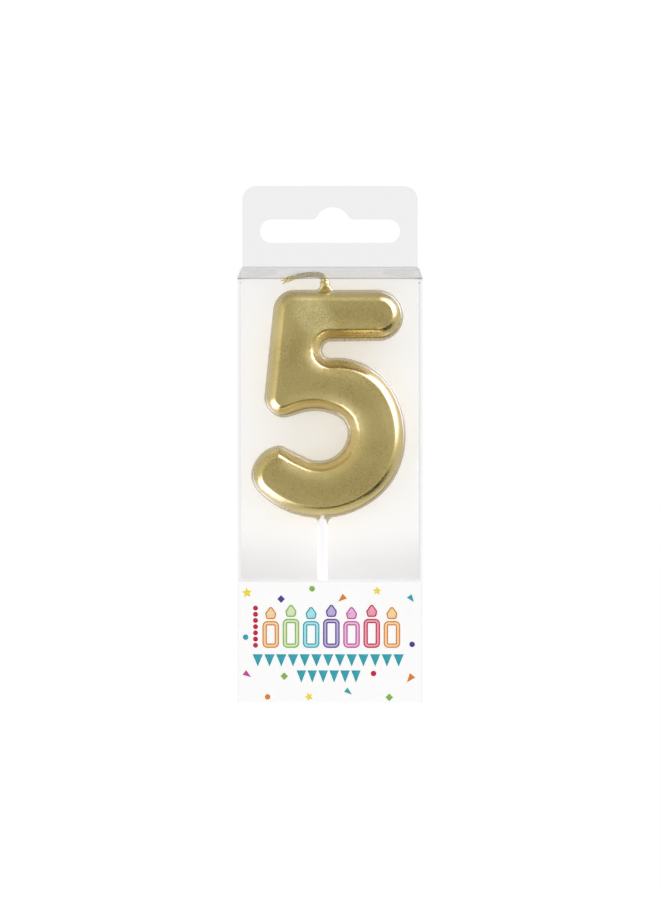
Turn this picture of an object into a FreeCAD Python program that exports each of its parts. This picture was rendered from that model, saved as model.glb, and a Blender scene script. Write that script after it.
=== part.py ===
"""A number candle on a plastic pick, standing in a folded card insert inside a clear hang pack.

Millimetres, +Z up. The origin is the middle of the pack's footprint, on the surface it stands on.
The pack's front faces -Y. The numeral is a five, moulded in wax in two halves that meet in the
plane y = 0, where a thin fin runs all round it.
"""
import FreeCAD, Part
import math
import os
import Sketcher

Vector = FreeCAD.Vector

SIZES = (
    # the clear sleeve and its hang tab
    ("pack_width", 41.3),
    ("pack_depth", 16.0),
    ("film", 0.3),
    ("fold_gap", 0.05),
    ("slide_gap", 0.1),
    ("crease_height", 94.6),
    ("roof_rise", 3.4),
    ("tab_top", 116.7),
    ("tab_width", 40.0),
    ("tab_corner", 3.2),
    ("slot_width", 32.0),
    ("slot_height", 5.4),
    ("slot_bottom", 103.7),
    ("slot_corner", 2.6),
    ("hump_radius", 4.1),
    ("hump_foot", 1.2),
    ("hump_rise", 2.8),
    ("hump_shift", 0.6),
    ("flap_reach", 8.65),
    ("flap_start", 0.5),
    ("flap_clearance", 0.3),
    ("flap_taper", 0.9),
    ("glue_width", 11.0),
    ("glue_margin", 1.5),
    ("glue_top", 95.0),
    # the folded card insert
    ("card", 0.4),
    ("label_height", 27.0),
    ("back_card_height", 97.2),
    ("card_tab", 12.0),
    # the wax numeral
    ("wax_depth", 9.0),
    ("fin_depth", 1.0),
    ("fin_width", 0.5),
    ("face_round", 1.7),
    ("bar_top_height", 92.58),
    ("bar_start", -7.93),
    ("bar_end_radius", 5.82),
    ("notch_radius", 1.83),
    ("shoulder_radius", 14.96),
    ("bowl_upper_radius", 19.86),
    ("bowl_lower_radius", 16.8),
    ("belly_radius", 20.24),
    ("tip_low_radius", 5.69),
    ("tip_side_radius", 7.45),
    ("tip_top_radius", 2.78),
    ("cup_low_radius", 6.32),
    ("cup_side_radius", 4.51),
    ("cup_top_radius", 11.11),
    ("stem_foot_radius", 4.35),
    ("top_corner_radius", 4.95),
    # the pick and the wick
    ("pick_place", -1.7),
    ("pick_radius", 1.1),
    ("pick_foot", 0.5),
    ("pick_point", 3.0),
    ("pick_point_radius", 0.35),
    ("pick_shoulder", 39.0),
    ("pick_neck", 40.9),
    ("spigot_radius", 0.65),
    ("spigot_top", 50.0),
    ("collar_half", 1.9),
    ("collar_foot_half", 1.6),
    ("collar_bottom", 39.9),
    ("collar_lap", 2.0),
    ("wick_place", -1.1),
    ("wick_radius", 0.65),
    ("wick_foot", 84.7),
    ("cone_radius", 1.45),
    ("cone_tip_radius", 0.95),
    ("cone_height", 2.2),
    ("cone_root", 1.0),
)

# The numeral's outline, walked clockwise: (name, length) is a straight, (name, turn in degrees)
# an arc whose radius is in the sheet, and None is worked out so that the walk closes.
OUTLINE = (
    ("straight", "bar_top", None),
    ("arc", "bar_end", -179.55),
    ("straight", "bar_under", 10.6),
    ("arc", "notch", 183.91),
    ("arc", "shoulder", -63.88),
    ("arc", "bowl_upper", -52.62),
    ("arc", "bowl_lower", -27.1),
    ("arc", "belly", -84.2),
    ("arc", "tip_low", -65.07),
    ("arc", "tip_side", -57.64),
    ("arc", "tip_top", -39.29),
    ("straight", "tip_back", 5.79),
    ("arc", "cup_low", 103.55),
    ("arc", "cup_side", 77.2),
    ("arc", "cup_top", 41.11),
    ("straight", "stem_under", 2.87),
    ("arc", "stem_foot", -112.24),
    ("straight", "stem_side", None),
    ("arc", "top_corner", None),
)

# The wick's bare stretch: up out of its wax cone, over to the left and back, and down to its tip.
# Each x is counted from the wick's place in the numeral.
WICK_ROUTE = (
    (0.0, 0.0, 94.6),
    (-0.8, 2.0, 96.0),
    (-3.5, 3.9, 96.25),
    (-6.9, 4.0, 95.8),
    (-9.5, 3.6, 94.6),
)
# The share of the shorter of two runs that the wick's bend between them takes up.
BEND_SHARE = 0.45
# How far the wick's volume may be from that of a straight rod as long, as a share of it.
VOLUME_SLACK = 0.01
# Two coordinates closer than this, in millimetres, are the same.
SAME_PLACE = 1e-6

doc = FreeCAD.newDocument("number_candle")
sheet = doc.addObject("Spreadsheet::Sheet", "Sizes")
for row, (alias, value) in enumerate(SIZES, start=1):
    sheet.set("A%d" % row, alias)
    sheet.set("B%d" % row, str(value))
    sheet.setAlias("B%d" % row, alias)
doc.recompute()

nodes = []


def size(alias):
    return float(sheet.get(alias))


def value_of(formula):
    """The number that a formula on the sheet's cells gives; a cell is written [name]."""
    return float(sheet.evalExpression(formula.replace("[", "").replace("]", "")))


def bound(formula):
    """The same formula as another object of the document writes it."""
    return formula.replace("[", "Sizes.").replace("]", "")


def bind(thing, **formulas):
    """Bind properties to formulas; a double underscore in a name stands for a dot."""
    for name, formula in formulas.items():
        thing.setExpression(name.replace("__", "."), bound(formula))


def node(thing, label):
    """Name a finished sub-part, which becomes the file parts/LABEL.step."""
    thing.Label = label
    nodes.append(thing)
    return thing


def box(name, low, extent):
    """A Part::Box whose low corner and extents are three formulas each."""
    made = doc.addObject("Part::Box", name)
    bind(made, Length=extent[0], Width=extent[1], Height=extent[2])
    bind(made, Placement__Base__x=low[0], Placement__Base__y=low[1], Placement__Base__z=low[2])
    return made


def body_with_sketch(name, plane):
    """A PartDesign body with one sketch on one of its own origin planes."""
    body = doc.addObject("PartDesign::Body", name)
    return body, add_sketch(body, plane, name + "_sketch")


def add_sketch(body, plane, name):
    sketch = body.newObject("Sketcher::SketchObject", name)
    origin_plane = [f for f in body.Origin.OriginFeatures if f.Role == plane][0]
    sketch.AttachmentSupport = (origin_plane, [""])
    sketch.MapMode = "FlatFace"
    return sketch


def polygon(sketch, corners):
    """A closed polygon whose corners are pairs of formulas, each bound to the sheet."""
    places = [Vector(value_of(x), value_of(y), 0) for x, y in corners]
    count = len(places)
    for i in range(count):
        sketch.addGeometry(Part.LineSegment(places[i], places[(i + 1) % count]), False)
    for i in range(count):
        sketch.addConstraint(Sketcher.Constraint("Coincident", i, 2, (i + 1) % count, 1))
    for i, (x, y) in enumerate(corners):
        for kind, formula, place in (("DistanceX", x, places[i].x), ("DistanceY", y, places[i].y)):
            at = sketch.addConstraint(Sketcher.Constraint(kind, -1, 1, i, 1, place))
            sketch.setExpression("Constraints[%d]" % at, bound(formula))


def walk(strokes, start, heading):
    """Follow tangent strokes and return (kind, points or circle) for each, and the last point.

    A straight is ("straight", name, length) and an arc is ("arc", name, turn, radius).
    """
    place, made = Vector(*start, 0), []
    for stroke in strokes:
        if stroke[0] == "straight":
            ahead = Vector(math.cos(heading), math.sin(heading), 0)
            made.append(("straight", stroke[1], place, place + ahead * stroke[2]))
            place = made[-1][3]
            continue
        turn, radius = math.radians(stroke[2]), stroke[3]
        side = math.copysign(1.0, turn)
        centre = place + Vector(-math.sin(heading), math.cos(heading), 0) * (side * radius)
        first = heading - side * math.pi / 2
        made.append(("arc", stroke[1], centre, radius, first, first + turn))
        heading += turn
        last = first + turn
        place = centre + Vector(math.cos(last), math.sin(last), 0) * radius
    return made, place


def numeral_strokes(inset):
    """The outline's strokes, moved inward by an inset, with the unknown ones worked out."""
    turns = [s[2] for s in OUTLINE if s[0] == "arc" and s[2] is not None]
    last_turn = -360.0 - sum(turns)
    strokes = []
    for kind, name, amount in OUTLINE:
        if kind == "straight":
            strokes.append([kind, name, amount or 0.0])
            continue
        turn = last_turn if amount is None else amount
        strokes.append([kind, name, turn, size(name + "_radius") + math.copysign(inset, turn)])
    side_heading = math.radians(-last_turn)
    miss = walk(strokes, (0, 0), 0.0)[1]
    rise = -miss.y / math.sin(side_heading)
    for stroke in strokes:
        if stroke[1] == "stem_side":
            stroke[2] = rise
        if stroke[1] == "bar_top":
            stroke[2] = -miss.x - rise * math.cos(side_heading)
    return strokes


def draw_walk(sketch, made, radius_of):
    """Put a walked outline in a sketch: tangent joints, and radii bound to the sheet."""
    ends = []
    for i, stroke in enumerate(made):
        if stroke[0] == "straight":
            sketch.addGeometry(Part.LineSegment(stroke[2], stroke[3]), False)
            ends.append((1, 2))
            continue
        circle = Part.Circle(stroke[2], Vector(0, 0, 1), stroke[3])
        low, high = sorted(stroke[4:6])
        sketch.addGeometry(Part.ArcOfCircle(circle, low, high), False)
        ends.append((1, 2) if stroke[5] > stroke[4] else (2, 1))
    count = len(made)
    for i in range(count):
        following = (i + 1) % count
        joint = Sketcher.Constraint("Tangent", i, ends[i][1], following, ends[following][0])
        sketch.addConstraint(joint)
    for i, stroke in enumerate(made):
        if stroke[0] == "arc":
            at = sketch.addConstraint(Sketcher.Constraint("Radius", i, stroke[3]))
            sketch.setExpression("Constraints[%d]" % at, bound(radius_of(stroke)))


def numeral_sketch(sketch, inset):
    """The five's outline moved inward by an inset formula."""
    depth = value_of(inset)
    start = (size("bar_start"), size("bar_top_height") - depth)
    made = walk(numeral_strokes(depth), start, 0.0)[0]

    def radius_of(stroke):
        sign = "-" if stroke[5] < stroke[4] else "+"
        return "[%s_radius] %s %s" % (stroke[1], sign, inset)

    draw_walk(sketch, made, radius_of)


def pad(body, sketch, length, both_ways=False):
    """A Pad; it goes along the sketch's normal, or half each way."""
    made = body.newObject("PartDesign::Pad", sketch.Name + "_pad")
    made.Profile = sketch
    made.SideType = "Symmetric" if both_ways else "One side"
    bind(made, Length=length)
    return made


def make_numeral_blank():
    """The wax without its bores: a rounded slab, and the thin fin where the two moulds met."""
    body, slab = body_with_sketch("numeral_blank", "XZ_Plane")
    numeral_sketch(slab, "[fin_width]")
    slab_pad = pad(body, slab, "[wax_depth]", both_ways=True)
    doc.recompute()
    half = size("wax_depth") / 2
    rims = [
        "Edge%d" % (i + 1)
        for i, edge in enumerate(slab_pad.Shape.Edges)
        if all(abs(abs(v.Y) - half) < SAME_PLACE for v in edge.Vertexes)
    ]
    rounding = body.newObject("PartDesign::Fillet", "face_rounding")
    rounding.Base = (slab_pad, rims)
    bind(rounding, Radius="[face_round]")
    fin = add_sketch(body, "XZ_Plane", "fin_sketch")
    numeral_sketch(fin, "0")
    pad(body, fin, "[fin_depth]", both_ways=True)
    collar = add_sketch(body, "XZ_Plane", "collar_sketch")
    polygon(collar, (
        ("[pick_place] - [collar_half]", "[pick_neck] + [collar_lap]"),
        ("[pick_place] + [collar_half]", "[pick_neck] + [collar_lap]"),
        ("[pick_place] + [collar_foot_half]", "[collar_bottom]"),
        ("[pick_place] - [collar_foot_half]", "[collar_bottom]"),
    ))
    pad(body, collar, "[fin_depth]", both_ways=True)
    return body


def make_pick():
    """The plastic stem: a spigot inside the wax, a bullet-shaped shoulder and a blunt point."""
    body, sketch = body_with_sketch("pick_body", "XZ_Plane")
    polygon(sketch, (
        ("0", "[pick_foot]"),
        ("[pick_point_radius]", "[pick_foot]"),
        ("[pick_radius]", "[pick_foot] + [pick_point]"),
        ("[pick_radius]", "[pick_shoulder]"),
        ("[spigot_radius]", "[pick_neck]"),
        ("[spigot_radius]", "[spigot_top]"),
        ("0", "[spigot_top]"),
    ))
    turned = body.newObject("PartDesign::Revolution", "pick_turned")
    turned.Profile = sketch
    turned.ReferenceAxis = (sketch, ["V_Axis"])
    turned.Angle = 360
    bind(body, Placement__Base__x="[pick_place]")
    return node(body, "pick")


def rounded_route(points):
    """Straight runs joined by tangent arcs that are as large as their two runs allow."""
    edges, place = [], points[0]
    for before, corner, after in zip(points, points[1:], points[2:]):
        back, ahead = before - corner, after - corner
        turn = math.pi - back.getAngle(ahead)
        cut = BEND_SHARE * min(back.Length, ahead.Length)
        back.normalize()
        ahead.normalize()
        radius = cut / math.tan(turn / 2)
        first, last = corner + back * cut, corner + ahead * cut
        inward = back + ahead
        inward.normalize()
        middle = corner + inward * (radius / math.cos(turn / 2) - radius)
        edges.append(Part.LineSegment(place, first).toShape())
        edges.append(Part.Arc(first, middle, last).toShape())
        place = last
    edges.append(Part.LineSegment(place, points[-1]).toShape())
    return Part.Wire(edges)


def make_wick():
    """The braided wick as a plain tube: upright in the wax, then bent over above it."""
    place = Vector(size("wick_place"), 0, 0)
    foot = place + Vector(0, 0, size("wick_foot"))
    route = rounded_route([foot] + [place + Vector(*point) for point in WICK_ROUTE])
    ring = Part.Wire(Part.makeCircle(size("wick_radius"), foot, Vector(0, 0, 1)))
    tube = route.makePipeShell([ring], True, False)
    expected = math.pi * size("wick_radius") ** 2 * route.Length
    if abs(tube.Volume / expected - 1) > VOLUME_SLACK:
        raise ValueError("the wick's tube has lost volume")
    made = doc.addObject("Part::Feature", "wick_tube")
    made.Shape = tube
    return node(made, "wick")


def make_numeral(pick, wick):
    """The blank with the wick's cone added, bored out for the wick and the pick's spigot."""
    blank = make_numeral_blank()
    cone = doc.addObject("Part::Cone", "wick_cone")
    bind(cone, Radius1="[cone_radius]", Radius2="[cone_tip_radius]", Height="[cone_height] + [cone_root]")
    bind(cone, Placement__Base__x="[wick_place]")
    bind(cone, Placement__Base__z="[bar_top_height] - [cone_root]")
    whole = doc.addObject("Part::Fuse", "numeral_with_cone")
    whole.Base, whole.Tool = blank, cone
    cores = doc.addObject("Part::Fuse", "numeral_cores")
    cores.Base, cores.Tool = pick, wick
    wax = doc.addObject("Part::Cut", "numeral_bored")
    wax.Base, wax.Tool = whole, cores
    return node(wax, "wax_numeral")


def make_slot_tool():
    """The hanging slot: round-ended, with a round hump whose feet are eased."""
    body, sketch = body_with_sketch("slot_tool", "XZ_Plane")
    corner, foot, dome = size("slot_corner"), size("hump_foot"), size("hump_radius")
    flat = size("slot_width") - 2 * corner
    side = size("slot_height") - 2 * corner
    # The dome and its feet touch where the line of their centres makes this angle.
    swing = math.degrees(math.acos((dome - size("hump_rise") + foot) / (dome + foot)))
    reach = (dome + foot) * math.sin(math.radians(swing))
    strokes = (
        ("straight", "bottom", flat),
        ("arc", "slot_corner", 90.0, corner),
        ("straight", "right", side),
        ("arc", "slot_corner", 90.0, corner),
        ("straight", "top_right", flat / 2 - size("hump_shift") - reach),
        ("arc", "hump_foot", -swing, foot),
        ("arc", "hump_radius", 2 * swing, dome),
        ("arc", "hump_foot", -swing, foot),
        ("straight", "top_left", flat / 2 + size("hump_shift") - reach),
        ("arc", "slot_corner", 90.0, corner),
        ("straight", "left", side),
        ("arc", "slot_corner", 90.0, corner),
    )
    made = walk(strokes, (-flat / 2, size("slot_bottom")), 0.0)[0]
    draw_walk(sketch, made, lambda stroke: "[%s]" % stroke[1])
    pad(body, sketch, "[pack_depth] * 2", both_ways=True)
    return body


def cut_slot(panel, tool, label):
    made = doc.addObject("Part::Cut", label + "_cut")
    made.Base, made.Tool = panel, tool
    return node(made, label)


def round_corners(body, flat, height):
    """Round the two upper corners of a hang tab."""
    doc.recompute()
    corners = [
        "Edge%d" % (i + 1)
        for i, edge in enumerate(flat.Shape.Edges)
        if all(abs(v.Z - height) < SAME_PLACE for v in edge.Vertexes)
        and abs(edge.Vertexes[0].X - edge.Vertexes[1].X) < SAME_PLACE
    ]
    rounding = body.newObject("PartDesign::Fillet", body.Name + "_rounding")
    rounding.Base = (flat, corners)
    bind(rounding, Radius="[tab_corner]")


def make_sleeve(slot_tool):
    """The clear sleeve that slides down over the card: four walls, glue flap and rear hang tab."""
    back, sketch = body_with_sketch("back_panel", "XZ_Plane")
    polygon(sketch, (
        ("-[pack_width] / 2", "0"),
        ("[pack_width] / 2", "0"),
        ("[pack_width] / 2", "[crease_height] + [roof_rise]"),
        ("[tab_width] / 2", "[crease_height] + [roof_rise]"),
        ("[tab_width] / 2", "[tab_top]"),
        ("-[tab_width] / 2", "[tab_top]"),
        ("-[tab_width] / 2", "[crease_height] + [roof_rise]"),
        ("-[pack_width] / 2", "[crease_height] + [roof_rise]"),
    ))
    flat = pad(back, sketch, "[film]")
    round_corners(back, flat, size("tab_top"))
    bind(back, Placement__Base__y="[pack_depth] / 2")
    cut_slot(back, slot_tool, "sleeve_back_panel")

    node(box(
        "front_panel",
        ("-[pack_width] / 2", "-[pack_depth] / 2", "0"),
        ("[pack_width]", "[film]", "[crease_height] - [fold_gap]"),
    ), "sleeve_front_panel")

    slope = "([roof_rise] / ([pack_depth] - 2 * [film]))"
    drop = "([film] + [slide_gap] + 2 * [fold_gap])"
    for label, place in (("sleeve_left_panel", "-[pack_width] / 2"),
                         ("sleeve_right_panel", "[pack_width] / 2 - [film]")):
        side, sketch = body_with_sketch(label + "_body", "YZ_Plane")
        polygon(sketch, (
            ("-[pack_depth] / 2 + [film]", "0"),
            ("[pack_depth] / 2 - [film]", "0"),
            ("[pack_depth] / 2 - [film]",
             "[crease_height] + ([pack_depth] - [film]) * %s - %s" % (slope, drop)),
            ("-[pack_depth] / 2 + [film]", "[crease_height] + [film] * %s - %s" % (slope, drop)),
        ))
        pad(side, sketch, "[film]")
        bind(side, Placement__Base__x=place)
        node(side, label)

    node(box(
        "glue_strip",
        ("[pack_width] / 2 - [film] - [glue_width]", "[pack_depth] / 2 - 2 * [film]",
         "[glue_margin]"),
        ("[glue_width]", "[film]", "[glue_top] - [glue_margin]"),
    ), "glue_flap")


def roof_angle():
    return "atan([roof_rise] / ([pack_depth] - 2 * [film]))"


def roof_frame(body):
    """Place a body on the roof's hinge line, its XY plane turned up to the roof's slope."""
    slope = FreeCAD.Rotation(Vector(1, 0, 0), value_of(roof_angle()))
    body.Placement = FreeCAD.Placement(Vector(), slope)
    bind(body, Placement__Base__y="-[pack_depth] / 2", Placement__Base__z="[crease_height]")
    bind(body, Placement__Rotation__Angle=roof_angle())


def roof_length():
    return "([pack_depth] - 2 * [film] - [fold_gap]) / cos(%s)" % roof_angle()


def make_roof():
    """The sloping lid, narrower at its back edge, where it turns up into the front hang tab."""
    body, sketch = body_with_sketch("roof_body", "XY_Plane")
    start = "[film] * tan(%s)" % roof_angle()
    polygon(sketch, (
        ("-[pack_width] / 2", start),
        ("[pack_width] / 2", start),
        ("[tab_width] / 2", roof_length()),
        ("-[tab_width] / 2", roof_length()),
    ))
    pad(body, sketch, "[film]")
    roof_frame(body)
    return node(body, "roof_panel")


def make_front_tab(slot_tool):
    """The front layer of the hang tab, standing against the rear one."""
    body, sketch = body_with_sketch("front_tab_body", "XZ_Plane")
    foot = "[crease_height] + [roof_rise] + [film] + [fold_gap]"
    polygon(sketch, (
        ("-[tab_width] / 2", foot),
        ("[tab_width] / 2", foot),
        ("[tab_width] / 2", "[tab_top]"),
        ("-[tab_width] / 2", "[tab_top]"),
    ))
    flat = pad(body, sketch, "[film]")
    round_corners(body, flat, size("tab_top"))
    bind(body, Placement__Base__y="[pack_depth] / 2 - [film] - [fold_gap]")
    return cut_slot(body, slot_tool, "hang_tab_front")


def make_dust_flap(label, sign):
    """A flap under the roof, cut back at an angle so that the roof can lift it out."""
    body, sketch = body_with_sketch(label + "_body", "XY_Plane")
    edge = "%s[pack_width] / 2" % sign
    inner = "%s([pack_width] / 2 - [flap_reach])" % sign
    polygon(sketch, (
        (edge, "[flap_start]"),
        (inner, "[flap_start] + [flap_reach]"),
        (inner, "%s - [flap_clearance] - [flap_taper]" % roof_length()),
        (edge, "%s - [flap_clearance]" % roof_length()),
    ))
    bind(sketch, AttachmentOffset__Base__z="-[film] - [slide_gap]")
    pad(body, sketch, "[film]")
    roof_frame(body)
    return node(body, label)


def make_card():
    """The white card: backing, floor, printed front, shelf with the pick's hole, and glue tab."""
    half = "[pack_width] / 2 - [film] - [slide_gap]"
    wide = "2 * (%s)" % half
    front = "-[pack_depth] / 2 + [film] + [slide_gap]"
    rear = "[pack_depth] / 2 - 2 * [film] - [slide_gap]"
    inside = "[pack_depth] - 3 * [film] - 2 * [slide_gap] - 2 * [card]"
    node(box(
        "backing", ("-(%s)" % half, "%s - [card]" % rear, "0"),
        (wide, "[card]", "[back_card_height]"),
    ), "card_back_panel")
    node(box(
        "floor", ("-(%s)" % half, "%s + [card]" % front, "0"), (wide, inside, "[card]"),
    ), "card_bottom_panel")
    node(box(
        "label_board", ("-(%s)" % half, front, "0"), (wide, "[card]", "[label_height]"),
    ), "card_front_panel")
    node(box(
        "glue_tab",
        ("-(%s)" % half, "%s - 2 * [card]" % rear, "[label_height] - [card] - [card_tab]"),
        (wide, "[card]", "[card_tab]"),
    ), "card_glue_tab")
    board = box(
        "shelf_board",
        ("-(%s)" % half, "%s + [card]" % front, "[label_height] - [card]"),
        (wide, inside, "[card]"),
    )
    hole = doc.addObject("Part::Cylinder", "pick_hole")
    bind(hole, Radius="[pick_radius] + [slide_gap]", Height="3 * [card]")
    bind(hole, Placement__Base__x="[pick_place]")
    bind(hole, Placement__Base__z="[label_height] - 2 * [card]")
    shelf = doc.addObject("Part::Cut", "shelf_bored")
    shelf.Base, shelf.Tool = board, hole
    node(shelf, "card_shelf")


def check_and_export():
    """Stop on any failed object or bad solid, then write each sub-part's file."""
    doc.recompute()
    for thing in doc.Objects:
        if {"Invalid", "Error"} & set(thing.State):
            raise RuntimeError("%s failed: %s" % (thing.Name, thing.State))
    os.makedirs("parts", exist_ok=True)
    for thing in nodes:
        shape = thing.Shape
        if shape.isNull() or not shape.isValid() or shape.Volume <= 0:
            raise RuntimeError("%s has no sound shape" % thing.Label)
        shape.exportStep("parts/%s.step" % thing.Label)
        print("%-20s %2d solid, %9.2f mm3" % (thing.Label, len(shape.Solids), shape.Volume))


make_card()
slot = make_slot_tool()
make_sleeve(slot)
make_roof()
make_front_tab(slot)
make_dust_flap("dust_flap_left", "-")
make_dust_flap("dust_flap_right", "")
make_numeral(make_pick(), make_wick())
check_and_export()
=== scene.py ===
"""A gold numeral candle on a white pick, held by a folded card inside a clear hang pack.

Metres, +Z up, the pack's front faces -Y and it stands on the plane z = 0. Lengths written in
tables are millimetres and are turned into metres as they are used.
"""
import math

import bmesh
import bpy
import numpy as np
from bpy.props import FloatProperty, FloatVectorProperty, IntProperty, PointerProperty
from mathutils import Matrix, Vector
from mathutils.geometry import delaunay_2d_cdt


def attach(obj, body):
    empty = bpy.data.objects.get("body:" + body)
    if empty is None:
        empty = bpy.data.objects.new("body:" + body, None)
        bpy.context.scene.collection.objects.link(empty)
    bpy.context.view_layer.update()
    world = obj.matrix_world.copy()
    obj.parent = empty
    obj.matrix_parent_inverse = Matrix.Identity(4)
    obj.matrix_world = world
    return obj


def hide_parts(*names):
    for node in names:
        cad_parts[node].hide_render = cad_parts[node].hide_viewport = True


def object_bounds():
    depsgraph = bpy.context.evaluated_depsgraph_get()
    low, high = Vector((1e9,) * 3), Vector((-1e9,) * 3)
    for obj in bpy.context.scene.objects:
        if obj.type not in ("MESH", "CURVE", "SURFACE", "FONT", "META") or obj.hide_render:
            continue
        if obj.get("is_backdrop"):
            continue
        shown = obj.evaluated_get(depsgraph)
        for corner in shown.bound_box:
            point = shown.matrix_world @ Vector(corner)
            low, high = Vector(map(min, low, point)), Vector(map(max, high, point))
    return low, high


bl_info = {
    "name": "Numeral candle in a hang pack",
    "version": (1, 0, 0),
    "blender": (4, 5, 0),
    "location": "View3D > Sidebar > Candle",
    "description": "Builds a numeral candle, its card insert and its clear hang pack",
    "category": "Add Mesh",
}

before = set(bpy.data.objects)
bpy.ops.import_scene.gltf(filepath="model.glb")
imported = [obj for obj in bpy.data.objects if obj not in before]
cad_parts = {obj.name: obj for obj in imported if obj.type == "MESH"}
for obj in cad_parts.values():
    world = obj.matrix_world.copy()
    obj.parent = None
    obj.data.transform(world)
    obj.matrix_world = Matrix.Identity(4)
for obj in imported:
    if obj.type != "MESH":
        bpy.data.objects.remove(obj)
MM = 0.001

# The numeral's outline from the left end of the bar's top, clockwise: (turn in degrees, radius)
# is an arc and (0, length) a straight. The last three entries are completed by closing the walk.
NUMERAL_WALK = (
    (0.0, 0.0), (-179.55, 5.82), (0.0, 10.6), (183.91, 1.83), (-63.88, 14.96), (-52.62, 19.86),
    (-27.1, 16.8), (-84.2, 20.24), (-65.07, 5.69), (-57.64, 7.45), (-39.29, 2.78), (0.0, 5.79),
    (103.55, 6.32), (77.2, 4.51), (41.11, 11.11), (0.0, 2.87), (-112.24, 4.35), (0.0, 0.0),
    (0.0, 4.95),
)
BAR_START = (-7.93, 92.58)
# The wick's line: up out of the wax, over to the left and back, and down to its tip.
WICK_ROUTE = (
    (-1.1, 0.0, 92.0), (-1.1, 0.0, 94.7), (-1.9, 2.0, 96.05), (-4.6, 3.9, 96.3), (-8.0, 4.0, 95.85),
    (-10.6, 3.6, 94.6),
)
PICK_X, WICK_X = -1.7, -1.1
# Where the glitter in the paint lies, partly a painted highlight, as x and z, and its half width
# and half height.
GLITTER_HIGHLIGHT_PLACE, GLITTER_HIGHLIGHT_REACH = (-3.6, 86.2), (5.2, 5.4)
# The sleeve: half its width and depth, the lid's front fold and slope, and the hang tab.
HALF_WIDTH, HALF_DEPTH = 20.65, 8.0
CREASE, ROOF_SLOPE = 94.6, math.atan(3.4 / 15.4)
TAB_FOOT, TAB_TOP, TAB_HALF, TAB_CORNER = 98.0, 116.7, 20.0, 3.2
# The hanging slot, and the hump over it: its radius, its feet's radius, its rise and its shift.
SLOT_WIDTH, SLOT_HEIGHT, SLOT_FOOT, SLOT_CORNER = 32.0, 5.4, 103.7, 2.6
HUMP, HUMP_FOOT, HUMP_RISE, HUMP_SHIFT = 4.1, 1.2, 2.8, 0.6
# The card: half its width, the depths of its outer faces, and the heights of its folds.
CARD_HALF, CARD_FRONT, CARD_BACK, GLUE_TAB_FACE = 20.25, -7.6, 7.3, 6.9
SHELF, GLUE_TAB_FOOT, BACKING_TOP = 27.0, 14.6, 97.2
# How much the cut edges of film and card are eased.
FILM_EASING, CARD_EASING = 0.05, 0.06


# ---------------------------------------------------------------- lines and surfaces

class Walk:
    """A flat line of straights and tangent arcs, as a function of the distance walked along it.

    A stroke that bends by k per unit turns its heading by k d over a distance d, and its chord
    is d sinc(k d / 2) long, along the heading half way.
    """

    def __init__(self, strokes, start, heading=0.0):
        turn, size = np.array(strokes, float).T
        turn = np.radians(turn)
        self.run = np.where(turn == 0, size, np.abs(turn) * size)
        self.bend = np.where(turn == 0, 0.0, np.sign(turn) / np.maximum(size, 1e-9))
        self.heading = math.radians(heading) + np.concatenate([[0.0], np.cumsum(turn)[:-1]])
        self.foot = np.concatenate([[0.0], np.cumsum(self.run)[:-1]])
        chords = self.chord(self.heading, self.bend, self.run)
        self.corner = np.array(start, float) + np.concatenate([[[0.0, 0.0]], np.cumsum(chords, 0)])
        self.length = self.run.sum()

    @staticmethod
    def chord(heading, bend, distance):
        half = bend * distance / 2
        ahead = np.stack([np.cos(heading + half), np.sin(heading + half)], -1)
        return (distance * np.sinc(half / math.pi))[..., None] * ahead

    def at(self, distance):
        """Places on the line, and the left-hand normals there."""
        stroke = np.clip(np.searchsorted(self.foot, distance, "right") - 1, 0, len(self.run) - 1)
        along = distance - self.foot[stroke]
        bend, heading = self.bend[stroke], self.heading[stroke]
        place = self.corner[stroke] + self.chord(heading, bend, along)
        heading = heading + bend * along
        return place, np.stack([-np.sin(heading), np.cos(heading)], -1)

    def steps(self, longest, sharpest=12.0, closed=False):
        """Distances that cut every stroke evenly, with arcs cut by angle (degrees) too."""
        angle = np.degrees(np.abs(self.bend) * self.run)
        count = np.ceil(np.maximum(self.run / longest, angle / sharpest)).astype(int)
        count = np.where(self.run > 1e-9, np.maximum(count, 1), 0)
        stroke = np.repeat(np.arange(len(count)), count)
        index = np.arange(len(stroke)) - np.repeat(np.cumsum(count) - count, count)
        made = self.foot[stroke] + self.run[stroke] * index / count[stroke]
        return made if closed else np.append(made, self.length)


def rounded_polygon(corners, radius):
    """A closed walk round a convex or concave polygon whose corners are eased to a radius."""
    corners = np.array(corners, float)
    ahead = np.roll(corners, -1, 0) - corners
    length = np.hypot(*ahead.T)
    heading = np.arctan2(ahead[:, 1], ahead[:, 0])
    turn = (np.roll(heading, -1) - heading + math.pi) % (2 * math.pi) - math.pi
    radii = np.broadcast_to(np.array(radius, float), len(corners))
    cut = radii * np.abs(np.tan(turn / 2))
    straight = length - cut - np.roll(cut, 1)
    strokes = np.empty((2 * len(corners), 2))
    strokes[0::2] = np.stack([np.zeros(len(corners)), straight], -1)
    strokes[1::2] = np.stack([np.degrees(turn), radii], -1)
    first = np.array([math.cos(heading[0]), math.sin(heading[0])])
    return Walk(strokes, corners[0] + first * cut[-1], math.degrees(heading[0]))


def grid_faces(rows, columns, closed=False):
    """The quads of a grid whose points are numbered row by row; closed joins its two ends."""
    row = np.arange(rows - 1)[:, None] * columns
    column = np.arange(columns if closed else columns - 1)[None, :]
    after = (column + 1) % columns
    quads = np.stack([row + column, row + after, row + columns + after, row + columns + column], -1)
    return quads.reshape(-1, 4)


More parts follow.
